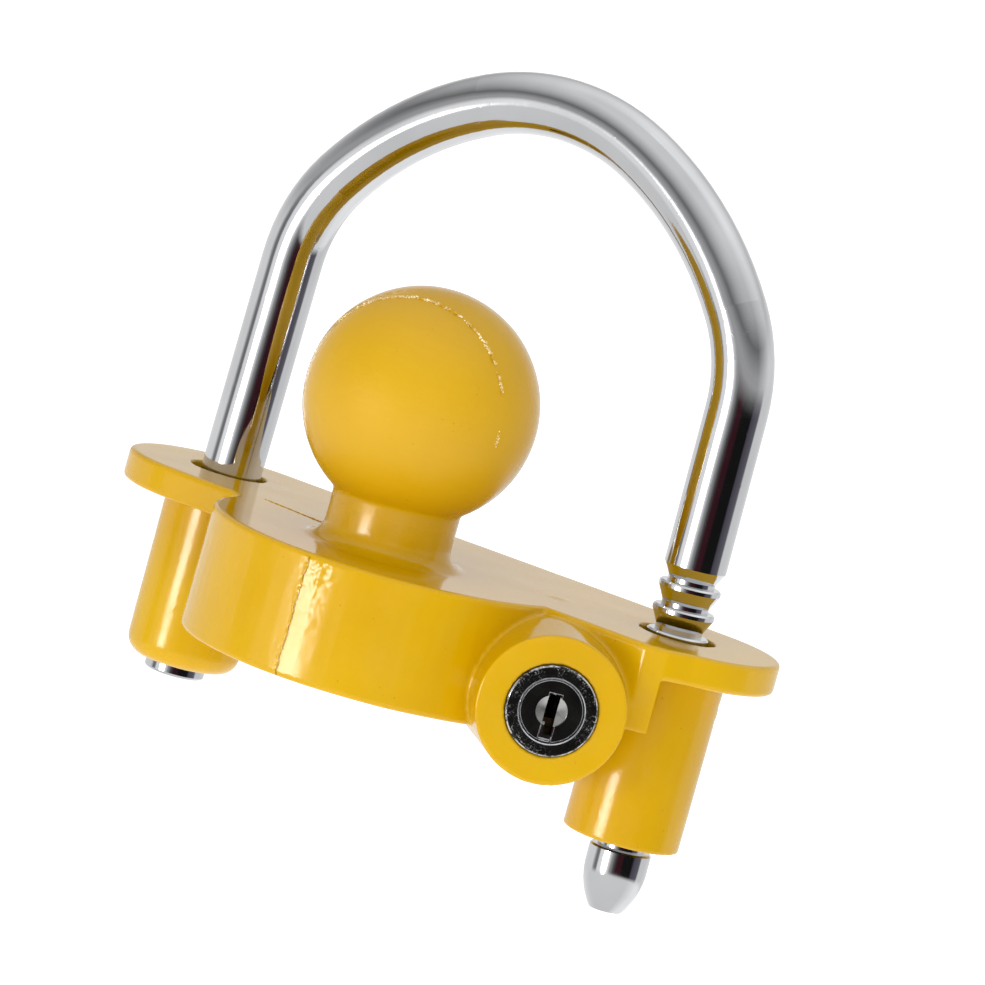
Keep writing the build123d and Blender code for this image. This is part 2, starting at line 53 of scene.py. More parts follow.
# Places and sizes that the frame gives
deck_z = next(m for m in frame["record"]["mounts"] if m["name"] == "deck_seat")["pos_m"][2]
key_turn = next(j for j in frame["joints"] if j["name"] == "key_turn")
lock_centre = Vector(key_turn["pos_m"])
lock_outward = -Vector(key_turn["axis"])
lock_across = Vector((-lock_outward.y, lock_outward.x, 0))
shackle_low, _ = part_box("shackle")

# Sizes of the casting. The frame's origin is the ball's centre, and -Y is the front
BALL_RADIUS = 23.8 * MM
DRUM_DEPTH = 25.5 * MM
DRUM_FRONT_Y = -24 * MM


# ---------------------------------------------------------------- node trees
class Nodes:
    """Short calls for building a node tree."""

    def __init__(self, tree):
        self.tree = tree
        tree.nodes.clear()

    def add(self, kind, links=None, **settings):
        """A node with its links by socket, and each setting on its attribute or its own socket."""
        node = self.tree.nodes.new(kind)
        for key, value in settings.items():
            if hasattr(node, key):
                setattr(node, key, value)
            else:
                node.inputs[key.replace("_", " ")].default_value = value
        for socket, source in (links or {}).items():
            self.tree.links.new(source, node.inputs[socket])
        return node

    def math(self, operation, first, second=0.0, third=0.0, clamp=False):
        """A sum on numbers and outputs of other nodes."""
        node = self.tree.nodes.new("ShaderNodeMath")
        node.operation = operation
        node.use_clamp = clamp
        for slot, value in enumerate((first, second, third)):
            if isinstance(value, (int, float)):
                node.inputs[slot].default_value = value
            else:
                self.tree.links.new(value, node.inputs[slot])
        return node.outputs[0]

    def ramp(self, factor, stops):
        """A blend between stops, each a factor with the grey or colour that it gives."""
        node = self.tree.nodes.new("ShaderNodeValToRGB")
        elements = node.color_ramp.elements
        while len(elements) < len(stops):
            elements.new(0.5)
        for element, (position, colour) in zip(elements, stops):
            element.position = position
            if isinstance(colour, (int, float)):
                colour = (colour, colour, colour)
            element.color = (*colour, 1)
        self.tree.links.new(factor, node.inputs[0])
        return node.outputs[0]

    def mix(self, factor, first, second):
        """The first colour where the factor is 0 and the second where it is 1."""
        node = self.tree.nodes.new("ShaderNodeMix")
        node.data_type = "RGBA"
        self.tree.links.new(factor, node.inputs[0])
        for slot, value in ((6, first), (7, second)):
            if isinstance(value, tuple):
                node.inputs[slot].default_value = (*value, 1)
            else:
                self.tree.links.new(value, node.inputs[slot])
        return node.outputs[2]

    def noise(self, vector, scale, detail, roughness=0.55, distortion=0.0):
        """Soft noise from 0 to 1, with its scale in waves to the metre."""
        node = self.add("ShaderNodeTexNoise", {"Vector": vector}, Scale=scale, Detail=detail)
        node.inputs["Roughness"].default_value = roughness
        node.inputs["Distortion"].default_value = distortion
        return node.outputs["Fac"]

    def patches(self, vector, scale, detail, stops, **settings):
        """Noise read through a ramp."""
        return self.ramp(self.noise(vector, scale, detail, **settings), stops)

    def bump(self, height, distance, strength, normal=None):
        """Relief on top of the relief so far."""
        links = {"Height": height}
        if normal is not None:
            links["Normal"] = normal
        node = self.add("ShaderNodeBump", links, Strength=strength, Distance=distance)
        return node.outputs[0]

    def shade(self, links, **settings):
        """The material's one shader, on its output. What is the same all over goes on its own sockets."""
        shader = self.add("ShaderNodeBsdfPrincipled", links, **settings)
        self.add("ShaderNodeOutputMaterial", {"Surface": shader.outputs[0]})


def new_material(name):
    material = bpy.data.materials.new(name)
    material.use_nodes = True
    n = Nodes(material.node_tree)
    place = n.add("ShaderNodeTexCoord").outputs["Object"]
    return material, n, place


def line_at(n, value, middle, half_width):
    """A soft line about a value's middle: 1 up to 0.7 of the half width, and 0 from 1.2 of it on."""
    away = n.math("ABSOLUTE", n.math("SUBTRACT", value, middle))
    return n.ramp(n.math("DIVIDE", away, 2 * half_width), [(0.7 / 2, 1.0), (1.2 / 2, 0.0)])


def ramp_by_height(n, z, stops):
    """A ramp whose stops are heights in metres, up to 50 mm above or below the ball's centre."""
    factor = n.math("MULTIPLY_ADD", z, 10.0, 0.5)
    return n.ramp(factor, [(height * 10.0 + 0.5, value) for height, value in stops])


# ---------------------------------------------------------------- camera
VIEW_AZIMUTH = 29.24
VIEW_ELEVATION = 7.55
VIEW_ROLL = 15.54
VIEW_DISTANCE = 1.406
VIEW_AIM = Vector((0.0050, 0.0287, -0.0162))
VIEW_END = 50
LENS_MM = 253.1
SENSOR_MM = 36.0


def make_camera():
    """A long lens from the front right, with the object leaning to the right in the picture."""
    azimuth = math.radians(VIEW_AZIMUTH)
    elevation = math.radians(VIEW_ELEVATION)
    roll = math.radians(VIEW_ROLL)
    back = Vector((
        math.sin(azimuth) * math.cos(elevation),
        -math.cos(azimuth) * math.cos(elevation),
        math.sin(elevation),
    ))
    level = Vector((math.cos(azimuth), math.sin(azimuth), 0))
    above = back.cross(level)
    image_right = math.cos(roll) * level + math.sin(roll) * above
    image_up = -math.sin(roll) * level + math.cos(roll) * above
    data = bpy.data.cameras.new("camera")
    data.lens = LENS_MM
    data.sensor_width = SENSOR_MM
    data.clip_end = VIEW_END
    camera = bpy.data.objects.new("camera", data)
    turn = Matrix((image_right, image_up, back)).transposed()
    camera.matrix_world = Matrix.Translation(VIEW_AIM + back * VIEW_DISTANCE) @ turn.to_4x4()
    bpy.context.scene.collection.objects.link(camera)
    bpy.context.scene.camera = camera


# ---------------------------------------------------------------- lamps
LAMP_AIM = Vector((0, 0.01, 0))
# Name, place and size in metres, and power in watts
LAMPS = (
    ("screen", (-0.27, -0.94, -0.14), (0.5, 0.4), 3.9),
    ("overhead", (0.20, -0.60, 0.95), (0.9, 0.9), 2.6),
    ("front", (0.70, -0.80, -0.05), (0.5, 0.5), 3.6),
)


def add_softbox(name, place, size, power):
    """An area light that looks at the object and doesn't show in its gloss."""
    data = bpy.data.lights.new(name, "AREA")
    data.shape = "RECTANGLE"
    data.size, data.size_y = size
    data.energy = power
    light = bpy.data.objects.new(name, data)
    place = Vector(place)
    light.rotation_euler = (place - LAMP_AIM).to_track_quat("Z", "Y").to_euler()
    light.location = place
    light.visible_glossy = False
    bpy.context.scene.collection.objects.link(light)


# ---------------------------------------------------------------- the room, as the gloss shows it
# Turns go round the room: 0.5 is the camera's side, less is to its left and more to its right.
# Heights go from 0 straight down to 1 straight up.
WHITE = (1.0, 1.0, 1.0)
WARM_DARK = (0.030, 0.008, 0.012)
WARM_DARKER = (0.025, 0.007, 0.010)
COOL_DARK = (0.055, 0.05, 0.065)
COOL_GREY = (0.09, 0.085, 0.10)
ROOM_STRENGTH = 1.75
WALLS_BY_TURNS = [
    (0.000, 0.53), (0.225, 0.56), (0.262, 0.14), (0.288, 0.14), (0.302, 0.62), (0.410, 0.70),
    (0.440, 0.25), (0.475, 0.05), (0.500, WARM_DARK), (0.548, WARM_DARKER), (0.560, 0.006),
    (0.655, 0.006), (0.672, COOL_DARK), (0.742, COOL_GREY), (0.762, 0.50), (1.000, 0.53),
]
FLOOR_AND_CEILING_BY_HEIGHT = [
    (0.0, 0.50), (0.36, 0.52), (0.42, 0.32), (0.61, 0.28), (0.71, 0.12), (0.82, 0.34), (0.94, 0.55),
]
WALLS_SHARE_BY_HEIGHT = [(0.33, 0.0), (0.37, 1.0), (0.49, 1.0), (0.57, 0.0)]
WHITE_SHARE_BY_TURNS = [(0.00, 0.28), (0.22, 0.0), (0.66, 0.0), (0.80, 0.40), (1.00, 0.28)]

WINDOW_TURNS = 0.376
WINDOW_HALF_WIDTH = 0.024
WINDOW_HEIGHT = 0.426
WINDOW_HALF_HEIGHT = 0.070
WINDOW_SQUARENESS = 4.0
WINDOW_GLOW = 26.0


def turns_and_height(n):
    """Where a direction points, as turns round the room and as a height."""
    direction = n.add("ShaderNodeTexCoord").outputs["Generated"]
    split = n.add("ShaderNodeSeparateXYZ", {0: direction})
    angle = n.math("ARCTAN2", split.outputs["X"], n.math("MULTIPLY", split.outputs["Y"], -1.0))
    from_camera = n.math("SUBTRACT", angle, math.radians(VIEW_AZIMUTH))
    turns = n.math("FRACT", n.math("ADD", n.math("DIVIDE", from_camera, 2 * math.pi), 0.5))
    height = n.math("ADD", n.math("MULTIPLY", split.outputs["Z"], 0.5), 0.5)
    return turns, height


def soft_window(n, turns, height):
    """A bright patch low on the camera's left: the highlight on the drum, the bosses and the neck."""
    sideways = n.math("DIVIDE", n.math("SUBTRACT", turns, WINDOW_TURNS), WINDOW_HALF_WIDTH)
    upwards = n.math("DIVIDE", n.math("SUBTRACT", height, WINDOW_HEIGHT), WINDOW_HALF_HEIGHT)
    spread = n.math(
        "ADD",
        n.math("POWER", sideways, WINDOW_SQUARENESS),
        n.math("POWER", upwards, WINDOW_SQUARENESS),
    )
    return n.math("EXPONENT", n.math("MULTIPLY", spread, -1.0))


def make_world():
    """A pale studio: white behind, a pale screen on the left, and dark in front and on the right."""
    world = bpy.data.worlds.new("studio")
    bpy.context.scene.world = world
    world.use_nodes = True
    n = Nodes(world.node_tree)
    turns, height = turns_and_height(n)
    above = n.ramp(height, FLOOR_AND_CEILING_BY_HEIGHT)
    above = n.mix(n.ramp(turns, WHITE_SHARE_BY_TURNS), above, WHITE)
    room = n.mix(n.ramp(height, WALLS_SHARE_BY_HEIGHT), above, n.ramp(turns, WALLS_BY_TURNS))
    lit = n.math("MULTIPLY_ADD", soft_window(n, turns, height), WINDOW_GLOW, ROOM_STRENGTH)
    # The picture's own background is plain white
    seen = n.add("ShaderNodeLightPath").outputs["Is Camera Ray"]
    glow = n.mix(seen, room, WHITE)
    strength = n.math("ADD", n.math("MULTIPLY", lit, n.math("SUBTRACT", 1.0, seen)), seen)
    background = n.add("ShaderNodeBackground", {"Color": glow, "Strength": strength})
    n.add("ShaderNodeOutputWorld", {"Surface": background.outputs[0]})


# ---------------------------------------------------------------- floor
FLOOR_HALF_SIZE = 6.0
FLOOR_DROP = 0.09
FLOOR_GLOW = 0.5


def make_floor():
    """A plain pale floor, well below the object."""
    half = FLOOR_HALF_SIZE
    z = shackle_low.z - FLOOR_DROP
    mesh = bpy.data.meshes.new("floor")
    corners = [(-half, -half, z), (half, -half, z), (half, half, z), (-half, half, z)]
    mesh.from_pydata(corners, [], [(0, 1, 2, 3)])
    floor = bpy.data.objects.new("floor", mesh)
    bpy.context.scene.collection.objects.link(floor)
    material, n, place = new_material("pale_floor")
    tone = n.patches(place, scale=3.0, detail=4.0, stops=[(0.3, 0.93), (0.7, 0.96)])
    n.shade({"Base Color": tone}, Roughness=0.9, Emission_Color=(*WHITE, 1), Emission_Strength=FLOOR_GLOW)
    mesh.materials.append(material)
    floor.visible_glossy = False


# ---------------------------------------------------------------- the paint
# Colours are linear light
PAINT_THIN = (0.545, 0.305, 0.0)
PAINT = (0.58, 0.335, 0.0)
PAINT_THICK = (0.605, 0.36, 0.0)
PAINT_ON_BALL = (0.55, 0.30, 0.0)
PAINT_STAINED = (0.50, 0.24, 0.0)
DIRT = (0.30, 0.13, 0.004)
# A dark colour along the crack's hairline
DARK_CRACK_LINE = (0.20, 0.08, 0.003)
SEAM_YELLOW = (0.62, 0.36, 0.0)
# A pale colour on the seam's crumbs, as a painted glint
SEAM_PAINTED_GLINT = (1.0, 0.90, 0.58)

COAT_IOR = 1.45
SEAM_IOR = 1.7
EDGE_ROUGHNESS = (0.16, 0.16, 0.16)
# Heights between which the deck's paint turns into the ball's
BALL_SKIN_FROM = -26 * MM
BALL_SKIN_FULL = -16 * MM
# How far each colour is mixed in, and how the specks are spread
BALL_SHADE_SHARE = 0.35
SPECK_CELLS = 620.0
SPECK_THRESHOLD = 0.555
SPECK_SHARE = 0.55
CRACK_SHARE = 0.75

# A shut line in the casting, from the drum's top rim down its front
CRACK_TOP_X = 3.3 * MM
CRACK_DRIFT = -0.4 * MM
CRACK_WANDER = 2.6 * MM
CRACK_TOP = 0.03  # share of the drum's depth at which the line starts
CRACK_HALF_WIDTH = 0.13  # in millimetres, as the lip's two sizes
LIP_BESIDE = -0.42
LIP_HALF_WIDTH = 0.22


def crack_lines(n, split):
    """The drum's shut line: its dark hairline, and the broken raised lip on its left."""
    x, y, z = (split.outputs[axis] for axis in "XYZ")
    level = n.add("ShaderNodeCombineXYZ", {2: z}).outputs[0]
    down = n.math("DIVIDE", n.math("SUBTRACT", deck_z, z), DRUM_DEPTH)
    sway = n.math("SUBTRACT", n.noise(level, scale=260.0, detail=6.0, roughness=0.8), 0.5)
    wander = n.math("MULTIPLY", sway, CRACK_WANDER / MM)
    line_x = n.math("MULTIPLY_ADD", down, CRACK_DRIFT / MM, CRACK_TOP_X / MM)
    beside = n.math("SUBTRACT", n.math("SUBTRACT", n.math("MULTIPLY", x, 1 / MM), line_x), wander)
    in_front = n.math("LESS_THAN", y, DRUM_FRONT_Y)
    on_front = n.math("MULTIPLY", in_front, n.math("GREATER_THAN", down, CRACK_TOP))
    broken = n.patches(level, scale=500.0, detail=3.0, roughness=0.7, stops=[(0.36, 0.25), (0.52, 1.0)])
    torn = n.patches(level, scale=800.0, detail=3.0, roughness=0.7, stops=[(0.45, 0.0), (0.60, 1.0)])
    hairline = line_at(n, beside, 0.0, CRACK_HALF_WIDTH)
    raised = line_at(n, beside, LIP_BESIDE, LIP_HALF_WIDTH)
    crack = n.math("MULTIPLY", hairline, n.math("MULTIPLY", on_front, broken))
    lip = n.math("MULTIPLY", raised, n.math("MULTIPLY", on_front, torn))
    return crack, lip


def paint_colour(n, place, ball, crack):
    """Yellow in slow patches, a shade deeper on the ball, with specks, stains and the dark crack."""
    shades = [(0.30, PAINT_THIN), (0.55, PAINT), (0.75, PAINT_THICK)]
    colour = n.patches(place, scale=28.0, detail=3.0, stops=shades)
    # Specks of dirt under the paint, few, faint and odd in shape
    cells = n.add("ShaderNodeTexVoronoi", {"Vector": place}, Scale=SPECK_CELLS)
    size = n.patches(place, scale=900.0, detail=2.0, stops=[(0.36, 0.0), (0.72, 0.17)])
    near = n.math("LESS_THAN", cells.outputs["Distance"], size)
    rare = n.math("GREATER_THAN", n.noise(place, scale=150.0, detail=1.0), SPECK_THRESHOLD)
    speck = n.math("MULTIPLY", near, rare)
    colour = n.mix(n.math("MULTIPLY", speck, SPECK_SHARE), colour, DIRT)
    colour = n.mix(n.math("MULTIPLY", ball, BALL_SHADE_SHARE), colour, PAINT_ON_BALL)
    stain = n.patches(place, scale=300.0, detail=5.0, roughness=0.7, stops=[(0.35, 0.0), (0.75, 0.10)])
    colour = n.mix(stain, colour, PAINT_STAINED)
    # The crack's hairline is given a dark colour
    return n.mix(n.math("MULTIPLY", crack, CRACK_SHARE), colour, DARK_CRACK_LINE)


def paint_roughness(n, place, ball, sloped):
    """Glossiest on the flat deck, and satin on the ball except where it turns away from the view."""
    flat = n.patches(place, scale=160.0, detail=3.0, stops=[(0.3, 0.07), (0.7, 0.13)])
    wall = n.patches(place, scale=160.0, detail=3.0, stops=[(0.3, 0.13), (0.7, 0.20)])
    sandy = n.patches(place, scale=240.0, detail=3.0, stops=[(0.3, 0.42), (0.7, 0.52)])
    facing = n.add("ShaderNodeLayerWeight", Blend=0.5).outputs["Facing"]
    sandy = n.mix(n.ramp(facing, [(0.55, 0.0), (0.85, 1.0)]), sandy, EDGE_ROUGHNESS)
    return n.mix(ball, n.mix(sloped, flat, wall), sandy)


def paint_relief(n, place, ball, sloped, crack, lip):
    """Slow lumps, orange peel, the ball's grain, a few pits, and the crack with its lip."""
    lumps = n.noise(place, scale=60.0, detail=2.0)
    normal = n.bump(lumps, distance=1.0 * MM, strength=0.05)
    peel = n.math("MULTIPLY", n.noise(place, scale=850.0, detail=2.0, roughness=0.4), sloped)
    normal = n.bump(peel, distance=0.08 * MM, strength=0.28, normal=normal)
    grain = n.math("MULTIPLY", n.noise(place, scale=2600.0, detail=2.0, roughness=0.6), ball)
    normal = n.bump(grain, distance=0.06 * MM, strength=0.45, normal=normal)
    pits = n.patches(place, scale=420.0, detail=1.0, stops=[(0.66, 0.0), (0.78, 1.0)])
    normal = n.bump(n.math("MULTIPLY", pits, sloped), distance=0.10 * MM, strength=0.20, normal=normal)
    return n.bump(n.math("SUBTRACT", lip, crack), distance=0.12 * MM, strength=0.8, normal=normal)


def yellow_paint():
    """Thick glossy paint over a rough casting: smooth on the flat deck, sandier on the ball."""
    material, n, place = new_material("yellow_paint")
    split = n.add("ShaderNodeSeparateXYZ", {0: place})
    tilt = n.add("ShaderNodeSeparateXYZ", {0: n.add("ShaderNodeNewGeometry").outputs["Normal"]})
    # 1 on walls and round shapes, 0 on flat faces that look straight up or down
    sloped = n.ramp(n.math("ABSOLUTE", tilt.outputs["Z"]), [(0.90, 1.0), (0.995, 0.0)])
    ball = ramp_by_height(n, split.outputs["Z"], [(BALL_SKIN_FROM, 0.0), (BALL_SKIN_FULL, 1.0)])
    crack, lip = crack_lines(n, split)
    n.shade(
        {
            "Base Color": paint_colour(n, place, ball, crack),
            "Roughness": paint_roughness(n, place, ball, sloped),
            "Normal": paint_relief(n, place, ball, sloped, crack, lip),
        },
        IOR=COAT_IOR,
    )
    return material


def seam_paint_with_painted_glints():
    """The same paint pulled thin over the sharp crumbs of the mould's joint, where it glints. Its pale patches are
    painted glints.
    """
    material, n, place = new_material("seam_paint_with_painted_glints")
    # The paint's yellow, with pale patches mixed into the colour as painted glints
    yellow_and_painted_glints = n.patches(place, scale=500.0, detail=3.0, stops=[(0.42, SEAM_YELLOW), (0.56, SEAM_PAINTED_GLINT)])
    rough = n.patches(place, scale=700.0, detail=2.0, stops=[(0.3, 0.05), (0.7, 0.14)])
    normal = n.bump(n.noise(place, scale=2500.0, detail=2.0), distance=0.05 * MM, strength=0.5)
    n.shade({"Base Color": yellow_and_painted_glints, "Roughness": rough, "Normal": normal}, IOR=SEAM_IOR)
    return material


# ---------------------------------------------------------------- the chrome bar
CHROME_DULL = (0.54, 0.545, 0.56)
CHROME_BRIGHT = (0.62, 0.625, 0.64)
ALONG_THE_LEGS = (1.0, 1.0, 0.06)  # stretches the drawing marks upwards


def bright_chrome():
    """Bright plate with slow waves, faint drawing marks along the legs, and tiny pits."""
    material, n, place = new_material("chrome")
    stretched = n.add("ShaderNodeMapping", {"Vector": place}, Scale=ALONG_THE_LEGS).outputs[0]
    tone = n.patches(place, scale=40.0, detail=3.0, stops=[(0.3, CHROME_DULL), (0.7, CHROME_BRIGHT)])
    rough = n.patches(place, scale=220.0, detail=4.0, stops=[(0.35, 0.035), (0.70, 0.11)])
    waves = n.noise(place, scale=60.0, detail=2.0)
    marks = n.noise(stretched, scale=1800.0, detail=2.0)
    pits = n.patches(place, scale=700.0, detail=1.0, stops=[(0.69, 0.0), (0.76, 1.0)])
    normal = n.bump(waves, distance=0.8 * MM, strength=0.06)
    normal = n.bump(marks, distance=0.03 * MM, strength=0.12, normal=normal)
    normal = n.bump(pits, distance=0.04 * MM, strength=0.12, normal=normal)
    n.shade({"Base Color": tone, "Roughness": rough, "Normal": normal}, Metallic=1.0)
    return material


# ---------------------------------------------------------------- the lock
# Worn lines on the lock's face, in millimetres
SLOT_HALF_WIDTH = 1.15
SLOT_TOP = 3.4
SLOT_BOTTOM = -5.8
CAP_RIM = 6.22
BEZEL_INNER_RIM = 6.62
BEZEL_OUTER_RIM = 8.98
# A ramp's factor ends at 1, so distances in millimetres are divided by this first
RAMP_REACH = 10.0
BLACK_LOW = (0.003, 0.003, 0.003)
BLACK_HIGH = (0.007, 0.008, 0.007)
WORN_BRIGHT = (0.80, 0.81, 0.84)
# Grease with painted shade, deep in the lock
GREASE_AND_PAINTED_SHADE = (0.012, 0.011, 0.009)


def lock_places(n, place):
    """The distance from the lock's axis, two distances across its face, and the depth in, in millimetres."""
    centred = n.add("ShaderNodeVectorMath", {0: place}, operation="SUBTRACT")
    centred.inputs[1].default_value = lock_centre
    centred = centred.outputs[0]

    def along(direction):
        node = n.add("ShaderNodeVectorMath", {0: centred}, operation="DOT_PRODUCT")
        node.inputs[1].default_value = direction
        return n.math("MULTIPLY", node.outputs["Value"], 1 / MM)

    side = along(lock_across)
    rise = along(Vector((0, 0, 1)))
    depth = along(-lock_outward)
    squares = n.math("ADD", n.math("POWER", side, 2.0), n.math("POWER", rise, 2.0))
    return n.math("SQRT", squares), side, rise, depth


def worn_rims(n, place, radius, side, rise):
    """Bare metal on the slot's edge, the cap's and the bezel's inner rim, and patches of the outer rim."""
    middle = (SLOT_TOP + SLOT_BOTTOM) / 2
    half_height = (SLOT_TOP - SLOT_BOTTOM) / 2
    beside = n.math("SUBTRACT", n.math("ABSOLUTE", side), SLOT_HALF_WIDTH)
    beyond = n.math("SUBTRACT", n.math("ABSOLUTE", n.math("SUBTRACT", rise, middle)), half_height)
    slot_rim = line_at(n, n.math("MAXIMUM", beside, beyond), middle=0.05, half_width=0.20)
    cap_rim = line_at(n, radius, CAP_RIM, half_width=0.13)
    inner_rim = line_at(n, radius, BEZEL_INNER_RIM, half_width=0.11)
    outer_rim = line_at(n, radius, BEZEL_OUTER_RIM, half_width=0.16)
    rims = n.math("MAXIMUM", n.math("MAXIMUM", cap_rim, inner_rim), slot_rim)
    thinned = n.patches(place, scale=900.0, detail=3.0, stops=[(0.28, 0.35), (0.5, 1.0)])
    patchy = n.patches(place, scale=700.0, detail=4.0, roughness=0.7, stops=[(0.42, 0.0), (0.58, 1.0)])
    return n.math("MAXIMUM", n.math("MULTIPLY", rims, thinned), n.math("MULTIPLY", outer_rim, patchy))


def face_scuffs(n, place, radius):
    """Fine scuffs in loose groups, most of them near the bezel's outer rim."""
    share_by_radius = [(0.64, 0.0), (0.66, 0.30), (0.74, 0.10), (0.82, 0.45), (0.90, 1.0)]
    zone = n.ramp(n.math("DIVIDE", radius, RAMP_REACH), share_by_radius)
    fine = n.patches(
        place, scale=2400.0, detail=5.0, roughness=0.75, distortion=0.8, stops=[(0.56, 0.0), (0.62, 1.0)],
    )
    groups = n.patches(place, scale=330.0, detail=3.0, roughness=0.6, stops=[(0.47, 0.0), (0.58, 1.0)])
    return n.math("MULTIPLY", n.math("MULTIPLY", fine, groups), zone)


def black_chrome():
    """Dark plate, worn to bright metal on the rims and round the key's slot, and scuffed beside them."""
    material, n, place = new_material("black_chrome")
    radius, side, rise, _ = lock_places(n, place)
    rims = worn_rims(n, place, radius, side, rise)
    worn = n.math("MAXIMUM", rims, face_scuffs(n, place, radius), clamp=True)
    tone = n.patches(place, scale=180.0, detail=3.0, stops=[(0.3, BLACK_LOW), (0.7, BLACK_HIGH)])
    colour = n.mix(worn, tone, WORN_BRIGHT)
    rough = n.patches(place, scale=500.0, detail=3.0, stops=[(0.3, 0.07), (0.7, 0.16)])
    normal = n.bump(n.noise(place, scale=2200.0, detail=2.0), distance=0.03 * MM, strength=0.25)
    normal = n.bump(worn, distance=0.05 * MM, strength=0.5, normal=normal)
    n.shade({"Base Color": colour, "Roughness": rough, "Normal": normal, "Metallic": worn}, IOR=COAT_IOR)
    return material


# Each metal's colour and its mean roughness
PLAIN_METALS = {
    "zinc": ((0.70, 0.70, 0.68), 0.30),
    "brass": ((0.74, 0.56, 0.25), 0.28),
    "plain_steel": ((0.55, 0.56, 0.58), 0.32),
    "spring_steel": ((0.42, 0.42, 0.44), 0.25),
}
STAIN_DARKNESS = 0.72
SMOOTHEST = 0.75
ROUGHEST = 1.3


def worn_metal(name, colour, roughness):
    """Satin metal with grain and stains, darkened with grease and painted shade below the lock's face and under
    its cap.
    """
    material, n, place = new_material(name)
    radius, _, _, depth = lock_places(n, place)
    dark = tuple(channel * STAIN_DARKNESS for channel in colour)
    tone = n.patches(place, scale=300.0, detail=5.0, stops=[(0.3, dark), (0.7, colour)])
    # Grease and painted shade: darker from 1.3 mm deep into the lock, and beyond 3.2 mm from its axis under the
    # cap
    deep = n.ramp(n.math("DIVIDE", depth, RAMP_REACH), [(0.13, 0.0), (0.20, 0.85), (1.0, 0.93)])
    under_cap = n.ramp(n.math("DIVIDE", radius, RAMP_REACH), [(0.318, 0.0), (0.33, 0.9)])
    tone = n.mix(n.math("MAXIMUM", deep, under_cap), tone, GREASE_AND_PAINTED_SHADE)
    spread = [(0.3, roughness * SMOOTHEST), (0.7, roughness * ROUGHEST)]
    rough = n.patches(place, scale=450.0, detail=3.0, stops=spread)
    normal = n.bump(n.noise(place, scale=900.0, detail=3.0), distance=0.05 * MM, strength=0.35)
    n.shade({"Base Color": tone, "Roughness": rough, "Normal": normal}, Metallic=1.0)
    return material


# ---------------------------------------------------------------- painted casting
VOXEL = 0.40 * MM
SMOOTH_PASSES = 3
SMOOTH_FACTOR = 0.5
LUMP_SCALE = 110.0
LUMP_HEIGHT = 0.04 * MM
# Rough skin beside the drum's shut line, roughest at the top
BLISTER_MIDDLE = 2.6 * MM
BLISTER_WIDTH = 6.0 * MM
BLISTER_HEIGHT = 0.22 * MM
BLISTER_REACH = 14 * MM
BLISTER_TOP = 0.02
BLISTER_FADE = 2.2
BLISTER_SCALE = 1000.0


def noise_at(points, scale, shift=0.0):
    """Perlin noise, about -1 to 1, at each point."""
    return np.array([noise.noise(Vector(p) * scale + Vector((shift, 0, 0))) for p in points])


def vertex_vectors(mesh, name):
    """Every vertex's place, "co", or direction, "normal", as rows of x, y and z."""
    values = np.empty(len(mesh.vertices) * 3)
    mesh.vertices.foreach_get(name, values)
    return values.reshape(-1, 3)


def softened_casting():
    """A copy of the CAD casting with its edges rounded, as under a thick coat of paint."""
    casting = bpy.data.objects.new("painted_casting", nodes["body_casting"].data.copy())
    bpy.context.scene.collection.objects.link(casting)
    remesh = casting.modifiers.new("remesh", "REMESH")
    remesh.mode = "VOXEL"
    remesh.voxel_size = VOXEL
    remesh.use_smooth_shade = True
    smooth = casting.modifiers.new("smooth", "SMOOTH")
    smooth.factor = SMOOTH_FACTOR
    smooth.iterations = SMOOTH_PASSES
    depsgraph = bpy.context.evaluated_depsgraph_get()
    mesh = bpy.data.meshes.new_from_object(casting.evaluated_get(depsgraph))
    casting.modifiers.clear()
    casting.data = mesh
    return casting


def blister_heights(points):
    """How far the rough skin stands out or in at each point, 0 away from the drum's shut line."""
    heights = np.zeros(len(points))
    x, y, z = points.T
    down = (deck_z - z) / DRUM_DEPTH
    on_drum = (y < DRUM_FRONT_Y) & (down > BLISTER_TOP) & (down < 1.0)
    near_line = np.flatnonzero(on_drum & (np.abs(x) < BLISTER_REACH))
    down = down[near_line]
    beside = x[near_line] - (CRACK_TOP_X + CRACK_DRIFT * down)
    across = np.exp(-(((beside - BLISTER_MIDDLE) / (BLISTER_WIDTH / 2)) ** 2))
    blister = across * (1.0 - down) ** BLISTER_FADE
    spots = points[near_line]
    fine = noise_at(spots, BLISTER_SCALE, shift=3.0)
    coarse = noise_at(spots, BLISTER_SCALE / 2, shift=9.0)
    lumps = fine + 0.5 * coarse
    heights[near_line] = blister * lumps * BLISTER_HEIGHT
    return heights


def painted_casting():
    """The softened casting, slightly lumpy, with a rough streak on the drum."""
    casting = softened_casting()
    mesh = casting.data
    points = vertex_vectors(mesh, "co")
    normals = vertex_vectors(mesh, "normal")
    # The lumps only go inwards, so the paint stays inside the CAD casting's box
    height = (noise_at(points, LUMP_SCALE) - 1) * LUMP_HEIGHT + blister_heights(points)
    points = points + normals * height[:, None]
    mesh.vertices.foreach_set("co", points.ravel())
    mesh.polygons.foreach_set("use_smooth", [True] * len(mesh.polygons))
    mesh.update()
    return casting


# ---------------------------------------------------------------- the mould's joint
SEAM_OFFSET = -10.4 * MM  # in front of the ball's centre
SEAM_SLANT = 0.15
SEAM_SCATTER = 0.28 * MM
CRUMB_SPREAD = (0.35, 1.0)
